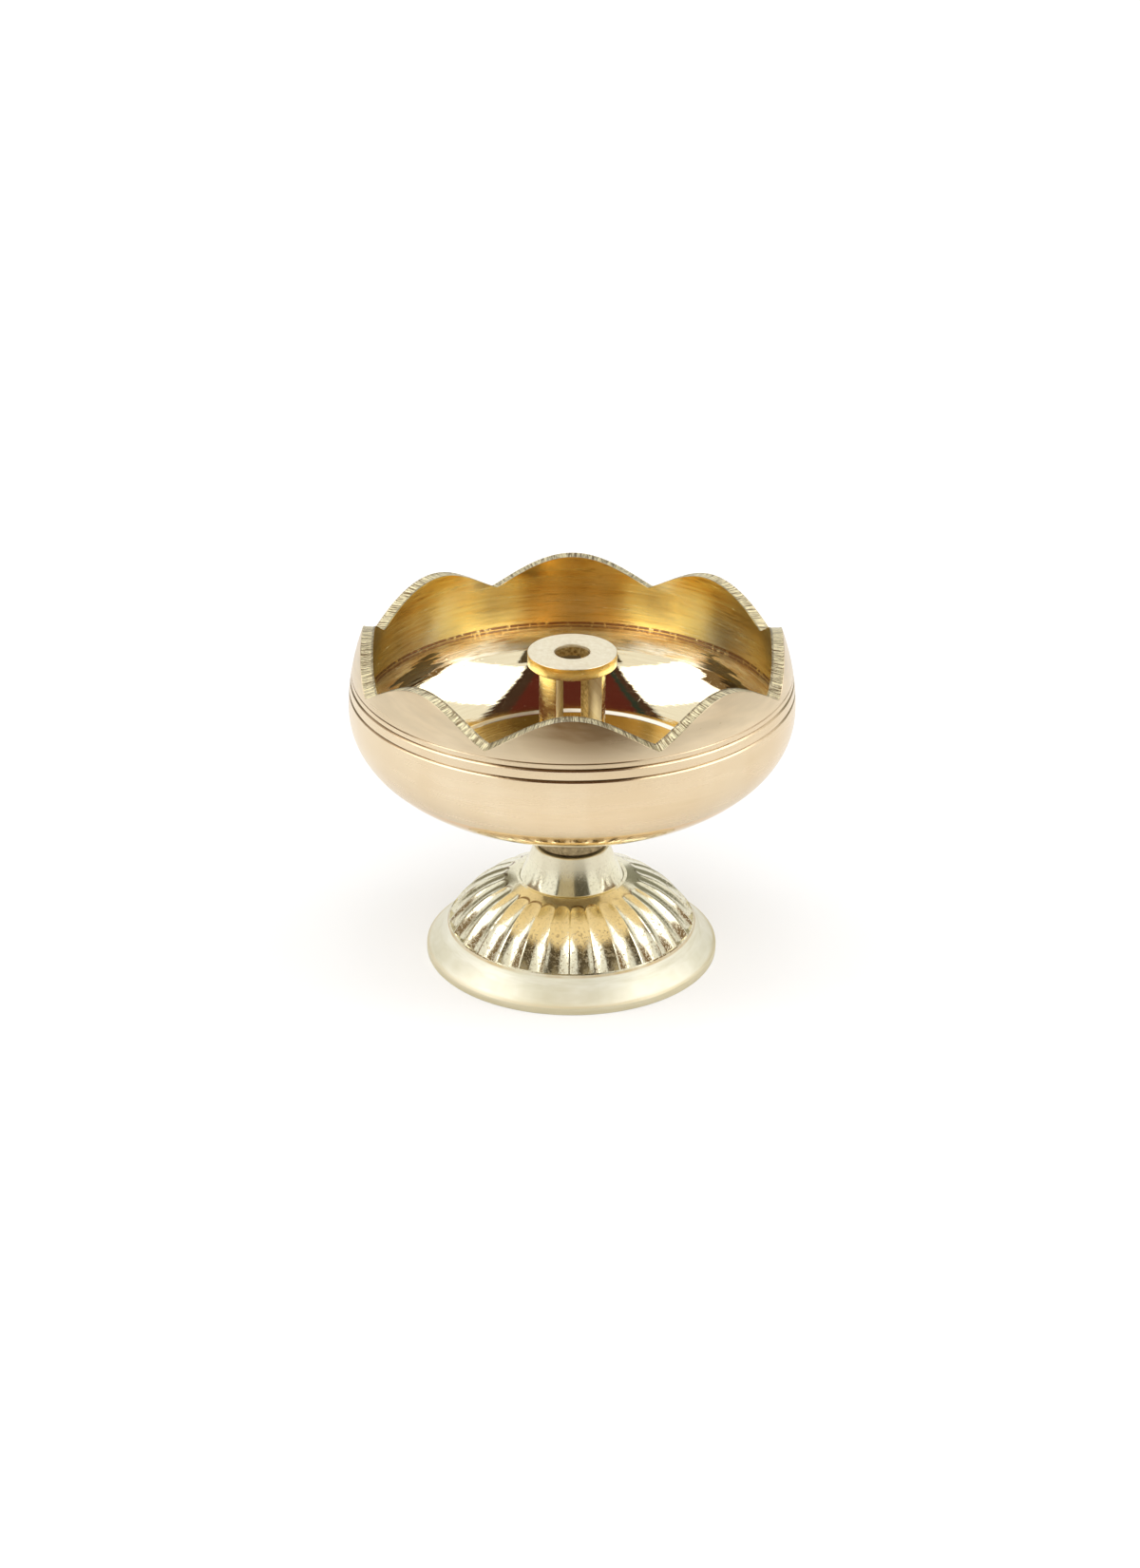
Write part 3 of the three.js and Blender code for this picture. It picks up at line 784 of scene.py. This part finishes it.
# Inside, the wall is brushed down to a ragged edge, and the bottom under it is polished. The wall
# is paler low down, partly its own colour and partly painted highlight, a deeper gold at the sides
# and browner at the back, with painted highlight at the back left and right. Dark lines run where
# it begins, soot has baked on at both sides of the bottom, and the scribed floor line has a painted
# glint.
bowl_inside, tree, shader = brass("bowl_inside", 0.7)
marks = effect(tree, turning, Lines=2200.0, Streaks=1700.0, Drift=2.6)
coarse = effect(tree, turning, Lines=900.0, Streaks=900.0, Drift=5.0)
scores = effect(tree, turning, Lines=4500.0, Streaks=2000.0, Drift=6.0)
pits = effect(tree, specks, Size=2600.0, Share=0.37)["Mask"]
across, back, high = object_point(tree)
ragged = high + (coarse["Height"] - 0.5) * 6.0 * MM + (scores["Height"] - 0.5) * 3.0 * MM
brushed = ragged.ramp(*BRUSHED_HEIGHTS)
wall = high.ramp(*WALL_HEIGHTS)
near_rim = high.ramp(*NEAR_RIM_HEIGHTS)
broken = noise(tree, across * 1500.0, back * 1500.0, high * 500.0, 2.0).ramp(0.32, 0.46)
dark_lines = broken * sum(
    high.near(at * MM, 0.30 * MM, 0.16 * MM) * strength for at, strength in DARK_LINES
)
dark_score = scores["Tone"].ramp(0.34, 0.10)
from_back = across.math("ABSOLUTE").math("ARCTAN2", back)
at_side = from_back.ramp(*SIDE_ANGLES) * wall
at_back = from_back.ramp(*BACK_ANGLES) * wall
wall_highlight = from_back.ramp(*WALL_HIGHLIGHT_START) * from_back.ramp(*WALL_HIGHLIGHT_END) * high.ramp(*WALL_HIGHLIGHT_HEIGHTS)
torn = from_back + (scores["Height"] - 0.5) * 0.5
soot_line = SOOT_HEIGHT - (from_back - SOOT_ANGLE) * SOOT_FALL
soot = ragged.near(soot_line, 1.25 * MM, 1.1 * MM) * torn.ramp(*SOOT_START) * torn.ramp(*SOOT_END)
# Painted glint: the scribed floor line at the back is near white and hardly metallic, stronger to
# the right.
floor_line_glint = high.near(FLOOR_LINE * MM, 0.20 * MM, 0.12 * MM) * from_back.ramp(*FLOOR_LINE_GLINT_END)
floor_line_glint = floor_line_glint * across.ramp(-7.0 * MM, 3.0 * MM).blend(0.3, 1.0)
bottom = tint(tree, marks["Tone"], (0.82, 0.70, 0.46), (0.88, 0.78, 0.54))
# The low wall's own colour, brightened by painted highlight.
wall_low_and_highlight = tint(tree, marks["Tone"], (0.93, 0.74, 0.42), (1.0, 0.98, 0.84))
wall_high = tint(tree, marks["Tone"], (0.90, 0.54, 0.12), (1.0, 0.86, 0.36))
step = tint(tree, coarse["Tone"], (0.72, 0.48, 0.20), (1.0, 0.95, 0.74))
shade = tint(tree, wall, step, tint(tree, near_rim, wall_low_and_highlight, wall_high))
shade = tint(tree, at_side * 0.85, shade, (1.0, 0.82, 0.31))
shade = tint(tree, at_back * 0.6, shade, (0.74, 0.42, 0.10))
shade = tint(tree, dark_score * 0.65, shade, (0.46, 0.24, 0.06))
# Painted highlight on the wall at the back left and right.
shade = tint(tree, wall_highlight * wall * (0.5 + marks["Tone"] * 0.4), shade, (1.0, 0.96, 0.70))
shade = tint(tree, brushed, bottom, shade)
shade = tint(tree, soot * 0.9, shade, (0.12, 0.10, 0.055))
shade = tint(tree, dark_lines * 0.9, shade, (0.24, 0.08, 0.05))
shade = tint(tree, floor_line_glint, shade, (1.0, 0.98, 0.92))
fit(tree, shader, Metallic=1.0 - floor_line_glint * 0.95)
cuts = marks["Height"] * brushed.blend(0.15, 1.0) + coarse["Height"] * brushed.blend(1.0, 0.6)
finish(
    tree, shader, shade, brushed.blend(0.03 + pits * 0.3, 0.18 + marks["Tone"] * 0.1),
    cuts + scores["Height"] * brushed * 0.3, brushed.blend(0.022, 0.034) * MM,
)

# File marks run straight across a narrow face, from its inner edge to its outer one.
filing, given, ends = group("File marks", {"Marks": 100.0}, ["Height", "Tone"])
x, y, _ = object_point(filing)
radius = hypotenuse(x, y) + OFF_AXIS
filed = noise(
    filing, x / radius * given["Marks"], y / radius * given["Marks"], radius * 250.0, 4.0, 0.75
)
plug(filing, filed, ends.inputs["Height"])
plug(filing, filed.ramp(0.36, 0.64), ends.inputs["Tone"])

# The rim's faces are bright between the file's deeper marks, with a dark burr along the inner edge.
rim_filed, tree, shader = brass("rim_filed")
marks = effect(tree, filing, Marks=200.0)
deep = effect(tree, filing, Marks=70.0)
tone = effect(tree, patches, Size=140.0)["Tone"]
pits = effect(tree, specks, Size=2600.0, Share=0.38)["Mask"]
across, back, high = object_point(tree)
rise = ((high - EQUATOR) / RIM_RISE).math("MAXIMUM", 0.0)
inner_edge = BOWL_RADIUS - BOWL_WALL - (BOWL_RADIUS - RIM_RADIUS) * rise ** RIM_POWER
from_edge = hypotenuse(across, back) - inner_edge
burr = from_edge.ramp(0.4 * MM, 0.2 * MM) * deep["Tone"].ramp(0.15, 0.5)
dull = (deep["Tone"] * -0.8 + pits * 0.8 + 0.5).ramp(0.0, 1.0)
shade = tint(tree, marks["Tone"].ramp(0.25, 0.6), (0.15, 0.09, 0.03), (1.0, 0.92, 0.62))
shade = tint(tree, tone * 0.2, shade, (0.70, 0.62, 0.38))
shade = tint(tree, dull, shade, (0.14, 0.09, 0.04))
shade = tint(tree, burr * 0.8, shade, (0.16, 0.12, 0.07))
finish(
    tree, shader, shade, 0.3 + marks["Tone"] * 0.15, marks["Height"] + deep["Height"], 0.12 * MM
)


def scored(points, lines, wall):
    """The wall's points with a fine V cut across each line's height. Lines are in millimetres."""
    for at, width, depth in lines:
        at, half, depth = at * MM, width / 2 * MM, depth * MM
        points = [p for p in points if abs(p[1] - at) > 2 * half]
        for step, cut in ((-1.3, 0), (-1, 0), (-0.8, 0.25), (0, 1), (0.8, 0.25), (1, 0), (1.3, 0)):
            radius, height = wall(at + step * half)
            points.append((radius - cut * depth, height))
    return sorted(points, key=lambda p: p[1])


def inner_belly(at):
    """The inside wall's point at a height below its widest place."""
    drop = (EQUATOR - at) / (EQUATOR - BOWL_FLOOR)
    return (BOWL_RADIUS - BOWL_WALL) * (1 - drop ** BELLY_POWER) ** (1 / BELLY_POWER), at


OUTSIDE, FILED, INSIDE, STUB, TAPPED = range(5)
outline = Outline()
outside = belly(BOWL_RADIUS, BELLY_DEPTH, BOSS_RADIUS + BOSS_FILLET, 34)
fillet = [(BOSS_RADIUS, BOWL_BOTTOM - BOSS_FILLET), (BOSS_RADIUS, outside[0][1]), outside[0]]
stub = softened([(0.0, BOWL_SEAT), (BOSS_RADIUS, BOWL_SEAT), fillet[0]], 0.3 * MM)
outline.add(stub[:-1] + stretch(stub[-2], fillet[0], 6)[1:], STUB)
outline.add(softened(fillet, BOSS_FILLET, 6)[2:-2], STUB)
low = [upper_wall(EQUATOR + (PETAL_BASE - EQUATOR) * i / 16, 0.0) for i in range(1, 17)]
outline.add(outside + scored(low, GROOVES, lambda at: upper_wall(at, 0.0)), OUTSIDE)
outline.add(
    [upper_wall(PETAL_BASE + (RIM_TOP - PETAL_BASE) * i / 12, 0.0) for i in range(1, 12)], OUTSIDE
)
rim = softened([
    upper_wall(RIM_TOP - RIM_BREAK, 0.0), upper_wall(RIM_TOP, 0.0),
    upper_wall(RIM_TOP, BOWL_WALL), upper_wall(RIM_TOP - RIM_BREAK, BOWL_WALL),
], RIM_SOFTNESS, 2)
rim_face = stretch(rim[3], rim[4], 7)
outline.add(rim[:3], OUTSIDE)
outline.add(rim_face, FILED, filed=[0.2] + [1.0] * (len(rim_face) - 2) + [0.2])
outline.add(rim[5:], INSIDE)
outline.add([upper_wall(RIM_TOP - RIM_RISE * i / 22, BOWL_WALL) for i in range(1, 22)], INSIDE)
inside = belly(BOWL_RADIUS - BOWL_WALL, EQUATOR - BOWL_FLOOR, SPOT_FACE_RADIUS, 36)
outline.add(scored(inside, SCRIBED_LINES, inner_belly)[::-1], INSIDE)
spot_face = [inside[0], (SPOT_FACE_RADIUS, BOWL_FLOOR), (SOCKET_RADIUS, BOWL_FLOOR)]
outline.add(spot_face[1:], INSIDE)
outline.add([
    (SOCKET_RADIUS, BOWL_FLOOR - TAP_LEAD),
    (SOCKET_RADIUS, BOWL_FLOOR - SOCKET_DEPTH),
    (0.0, BOWL_FLOOR - SOCKET_DEPTH),
], TAPPED)
bowl = turned(
    "bowl_casting", outline, PETAL_COUNT * PETAL_COLUMNS, petalled,
    {
        "Petals": PETAL_COUNT, "Depth": PETAL_DEPTH, "Bevel": PETAL_BEVEL, "Power": PETAL_POWER,
        "Petal Base": PETAL_BASE, "Bowl Radius": BOWL_RADIUS, "Wall": BOWL_WALL,
        "Equator": EQUATOR, "Rise": RIM_RISE, "Inset": BOWL_RADIUS - RIM_RADIUS,
        "Curve": RIM_POWER, "File Marks": 60.0, "File Depth": 0.25 * MM,
    },
    [bowl_satin, rim_filed, bowl_inside, as_cast, thread_cut],
)
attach(bowl, "bowl")
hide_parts("bowl")


def screw(name, core, ridge, seat, length, pitch, rows):
    """A screw that hangs from a seat, with a blunt point so that its thread starts easily."""
    outline = Outline()
    shank = stretch((core, seat - length), (core, seat + SCREW_ROOT), rows)
    thread = shank[SCREW_BLUNT_ROWS:]
    outline.add([(0.0, shank[0][1]), (core - SCREW_POINT, shank[0][1])], 0)
    outline.add(thread, 0, cut=[min(1.0, i / SCREW_LEAD_ROWS) for i in range(len(thread))])
    outline.add([(0.0, shank[-1][1])], 0)
    return turned(
        name, outline, THREAD_COLUMNS, threaded, {"Pitch": pitch, "Ridge": ridge}, [thread_cut]
    )


stud = screw(
    "stud", STUD_CORE_RADIUS, STUD_THREAD_DEPTH, BOWL_SEAT, STUD_LENGTH, THREAD_PITCH, 74
)
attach(stud, "bowl")
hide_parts("bowl")

# The thread in the floor's blind hole, for the wick holder.
socket_thread = tapped(
    "socket_thread", SOCKET_RADIUS,
    BOWL_FLOOR - SOCKET_DEPTH + 2 * TAP_LEAD, BOWL_FLOOR - TAP_LEAD, SOCKET_PITCH, 48,
)
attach(socket_thread, "bowl")
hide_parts("bowl")


# Wick holder
# One small turned piece that screws into the bowl's floor: a flange with the wick's hole, and a
# tubular stem with two tall windows sawn in it, so that oil reaches the wick.

HOLDER_SEAT = 30.0 * MM
HOLDER_HEIGHT = 25.4 * MM
HOLDER_TURN = math.radians(17.5)
FLANGE_RADIUS = 7.5 * MM
FLANGE_THICKNESS = 2.1 * MM
STEM_RADIUS = 5.55 * MM
WICK_BORE_RADIUS = 3.0 * MM
WINDOW_ANGLE = math.radians(92)
COLLAR_HEIGHT = 3.0 * MM
SPIGOT_CORE_RADIUS = 2.25 * MM
SPIGOT_THREAD_DEPTH = 0.43 * MM
SPIGOT_LENGTH = 6.0 * MM
SECTOR_COLUMNS = 20
HOLDER_BREAK = 0.1 * MM
FLANGE_SOFTNESS = 0.14 * MM


def sectored(size, radius, height, marks, column):
    """The rule of the stem: columns are spread so that some fall on each window's two edges."""
    sector = (column / size["Per Sector"]).math("FLOOR")
    share = column / size["Per Sector"] - sector
    pair = (sector / 2.0).math("FLOOR")
    on_leg = sector - pair * 2.0
    window = size["Window"]
    within = on_leg.blend(share * window, window + share * (math.pi - window))
    return radius, size["Turn"] - window / 2.0 + pair * math.pi + within, height


# The holder is golden where it is turned, paler on the flange's faced top, and rough and brown in
# the bore and where the windows are sawn.
holder_turned, tree, shader = brass("holder_turned", 0.4)
marks = effect(tree, turning, Lines=3600.0, Streaks=1500.0, Drift=2.0)
shade = tint(tree, marks["Tone"], (0.92, 0.66, 0.22), (1.0, 0.87, 0.44))
finish(tree, shader, shade, 0.2 + marks["Tone"] * 0.1, marks["Height"], 0.012 * MM)

holder_faced, tree, shader = brass("holder_faced", 0.3)
marks = effect(tree, turning, Lines=4500.0, Streaks=1500.0, Drift=6.0)
shade = tint(tree, marks["Tone"], (0.80, 0.71, 0.50), (0.94, 0.88, 0.70))
finish(tree, shader, shade, 0.34 + marks["Tone"] * 0.1, marks["Height"], 0.02 * MM)

holder_sawn, tree, shader = brass("holder_sawn")
skin = effect(tree, grain, Size=1900.0)
shade = tint(tree, skin["Tone"], (0.30, 0.20, 0.07), (0.80, 0.64, 0.32))
finish(tree, shader, shade, 0.34 + skin["Tone"] * 0.2, skin["Height"], 0.12 * MM)

TURNED, FACED, SAWN = range(3)
holder_top = HOLDER_SEAT + HOLDER_HEIGHT
window_top = holder_top - FLANGE_THICKNESS
window_foot = HOLDER_SEAT + COLLAR_HEIGHT
outline = Outline()
outline.add([(0.0, HOLDER_SEAT)], TURNED)
outline.add(stretch((STEM_RADIUS, HOLDER_SEAT), (STEM_RADIUS, window_foot), 4), TURNED)
outline.add(stretch((STEM_RADIUS, window_foot), (STEM_RADIUS, window_top), 20)[1:], TURNED)
flange = softened([
    (STEM_RADIUS, window_top), (FLANGE_RADIUS, window_top),
    (FLANGE_RADIUS, holder_top), (WICK_BORE_RADIUS, holder_top),
], FLANGE_SOFTNESS)
outline.add(flange[1:-4], TURNED)
outline.add(flange[-4:-1] + stretch(flange[-2], flange[-1], 5)[1:], FACED)
outline.add(stretch(flange[-1], (WICK_BORE_RADIUS, window_top), 4)[1:], SAWN)
outline.add(stretch((WICK_BORE_RADIUS, window_top), (WICK_BORE_RADIUS, window_foot), 20)[1:], SAWN)
outline.add([(0.0, window_foot)], SAWN)
wick_holder = turned(
    "wick_holder_turning", outline, 4 * SECTOR_COLUMNS, sectored,
    {"Per Sector": SECTOR_COLUMNS, "Window": WINDOW_ANGLE, "Turn": HOLDER_TURN},
    [holder_turned, holder_faced, holder_sawn],
)

# The two windows are sawn out of the stem, and their walls close the cut between its two skins.
shape = bmesh.new()
shape.from_mesh(wick_holder.data)
for side in (0.0, math.pi):
    middle = Vector((math.sin(HOLDER_TURN + side), -math.cos(HOLDER_TURN + side), 0.0))
    sawn_out = []
    for face in shape.faces:
        centre = face.calc_center_median()
        flat = Vector((centre.x, centre.y, 0.0))
        if window_foot < centre.z < window_top and flat.length > WICK_BORE_RADIUS / 2:
            if flat.angle(middle) < WINDOW_ANGLE / 2:
                sawn_out.append(face)
    bmesh.ops.delete(shape, geom=sawn_out, context="FACES")
    open_edges = [edge for edge in shape.edges if edge.is_boundary]
    for face in bmesh.ops.bridge_loops(shape, edges=open_edges)["faces"]:
        face.material_index = SAWN
        face.smooth = True
shape.to_mesh(wick_holder.data)
shape.free()
breaks = wick_holder.modifiers.new("edge break", "BEVEL")
breaks.width = HOLDER_BREAK
breaks.segments = 2
breaks.limit_method = "ANGLE"
breaks.angle_limit = math.radians(60)
wick_holder = plain(wick_holder, 38)
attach(wick_holder, "wick_holder")
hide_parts("wick_holder")

# The spigot under the collar.
spigot = screw(
    "spigot", SPIGOT_CORE_RADIUS, SPIGOT_THREAD_DEPTH, HOLDER_SEAT, SPIGOT_LENGTH, SOCKET_PITCH, 60
)
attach(spigot, "wick_holder")
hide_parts("wick_holder")


# Floor, light and camera
# A plain pale floor under the lamp, a white surround, soft lamps at both sides and in front, and
# cards that only the metal reflects, most of them dark, as they are stood round bright brass.

LENS = 87.27
CAMERA_PLACE = (-0.00032, -0.57892, 0.31151)
CAMERA_TILT = math.radians(64.14)
CAMERA_ROLL = math.radians(0.18)
SURROUND_LIGHT = 0.25
FLOOR_SIZE = 6.0
FLOOR_GLOW = 0.29
FLOOR_WHITENING = (0.08, 0.6)
FLOOR_WHITENING_RADII = (0.12, 0.8)
CARD_DISTANCE = 1.2

camera_data = bpy.data.cameras.new("camera")
camera_data.lens = LENS
camera = stand("camera", camera_data)
camera.location = CAMERA_PLACE
turn = Matrix.Rotation(CAMERA_TILT, 3, "X") @ Matrix.Rotation(CAMERA_ROLL, 3, "Z")
camera.rotation_euler = turn.to_euler()
bpy.context.scene.camera = camera


def seen_directly(tree):
    """1 where the camera sees a surface itself, and 1 where it does so or in metal or glass."""
    rays = tree.nodes.new("ShaderNodeLightPath")
    camera_ray, glossy, through = (
        Field(tree, rays.outputs[kind])
        for kind in ("Is Camera Ray", "Is Glossy Ray", "Is Transmission Ray")
    )
    return camera_ray, camera_ray.math("MAXIMUM", glossy).math("MAXIMUM", through)


world = bpy.data.worlds.new("surround")
world.use_nodes = True
bpy.context.scene.world = world
backdrop = world.node_tree.nodes["Background"]
backdrop.inputs["Color"].default_value = (1.0, 1.0, 1.0, 1.0)
_, seen = seen_directly(world.node_tree)
plug(world.node_tree, seen.blend(SURROUND_LIGHT, 1.0), backdrop.inputs["Strength"])

floor_mesh = bpy.data.meshes.new("floor")
half = FLOOR_SIZE / 2
corners = [(-half, -half, 0), (half, -half, 0), (half, half, 0), (-half, half, 0)]
floor_mesh.from_pydata(corners, [], [(0, 1, 2, 3)])
floor = stand("floor", floor_mesh)
floor_white, tree, shader = new_material("floor_white")
across, back, _ = object_point(tree)
whitening = hypotenuse(across, back).ramp(*FLOOR_WHITENING_RADII).blend(*FLOOR_WHITENING)
itself, seen = seen_directly(tree)
fit(
    tree, shader, Base_Color=(0.62, 0.62, 0.62, 1.0), Roughness=0.9, Specular_IOR_Level=0.0,
    Emission_Color=(1.0, 1.0, 1.0, 1.0), Emission_Strength=seen * FLOOR_GLOW + itself * whitening,
)
floor_mesh.materials.append(floor_white)


def card(name, sideways, elevations, colour):
    """A card that arches over the lamp from front to back, and shows only in the metal.

    Its edges lie at angles to the left and right of the middle plane, and it runs between two
    elevations in that plane, counted from the front over the top. All are in degrees.
    """
    steps = 24
    points = []
    for i in range(steps + 1):
        for j in range(steps + 1):
            aside = math.radians(sideways[0] + (sideways[1] - sideways[0]) * i / steps)
            up = math.radians(elevations[0] + (elevations[1] - elevations[0]) * j / steps)
            points.append((
                CARD_DISTANCE * math.sin(aside),
                -CARD_DISTANCE * math.cos(aside) * math.cos(up),
                CARD_DISTANCE * math.cos(aside) * math.sin(up),
            ))
    row = steps + 1
    faces = [
        (i * row + j, i * row + j + 1, (i + 1) * row + j + 1, (i + 1) * row + j)
        for i in range(steps) for j in range(steps)
    ]
    mesh = bpy.data.meshes.new(name)
    mesh.from_pydata(points, [], faces)
    material, tree, shader = new_material(name)
    fit(
        tree, shader, Base_Color=(0.0, 0.0, 0.0, 1.0), Specular_IOR_Level=0.0,
        Emission_Color=(*colour, 1.0), Emission_Strength=1.0,
    )
    mesh.materials.append(material)
    sheet = stand(name, mesh)
    sheet.visible_camera = False
    sheet.visible_diffuse = False
    sheet.visible_shadow = False


card("card_top_middle", (-13.5, 13), (62, 128), (0.11, 0.022, 0.015))
card("card_top_line", (-15.2, -13.5), (62, 128), (0.03, 0.045, 0.035))
card("card_top_left", (-18, -15.2), (62, 128), (0.07, 0.035, 0.022))
card("card_top_right", (13, 18), (62, 128), (0.06, 0.032, 0.022))
card("card_front_left", (-32, -27), (15, 40), (0.08, 0.075, 0.055))
card("card_front_middle", (-27, 5.4), (15, 40), (0.50, 0.42, 0.28))
card("card_front_right", (5.4, 37), (14, 40), (0.10, 0.09, 0.065))
card("card_front_high", (-21, 23), (40, 64), (0.10, 0.075, 0.045))
card("card_front_low", (-60, 60), (2, 13), (0.62, 0.60, 0.57))
card("card_far_left", (-77, -58), (54, 150), (0.22, 0.14, 0.065))
card("card_far_left_edge", (-58, -51), (92, 150), (0.22, 0.14, 0.065))
card("card_far_right", (58, 77), (54, 150), (0.22, 0.13, 0.055))
card("card_side_left", (-88, -62), (1, 48), (0.72, 0.70, 0.68))
card("card_side_right", (62, 88), (1, 48), (0.72, 0.70, 0.68))
card("card_back_left", (-50, -16), (146, 171), (0.24, 0.22, 0.16))
card("card_back_right", (12, 50), (146, 174), (0.26, 0.26, 0.21))


def lamp(name, spot, width, length, power, in_metal=True):
    """An oblong soft lamp that points at the bowl. Out of the metal, it lights only matt faces."""
    data = bpy.data.lights.new(name, "AREA")
    data.shape = "RECTANGLE"
    data.size = width
    data.size_y = length
    data.energy = power
    light = stand(name, data)
    light.location = spot
    aim = Vector((0.0, 0.0, EQUATOR)) - Vector(spot)
    light.rotation_euler = aim.to_track_quat("-Z", "Y").to_euler()
    light.visible_camera = False
    light.visible_glossy = in_metal


lamp("lamp_left", (-0.74, 0.0, 0.95), 0.85, 2.0, 11.0)
lamp("lamp_right", (0.74, 0.0, 0.95), 0.85, 2.0, 11.0)
lamp("lamp_front", (0.0, -1.0, 0.95), 0.9, 0.9, 7.0, in_metal=False)

bpy.context.scene.view_settings.view_transform = "Standard"
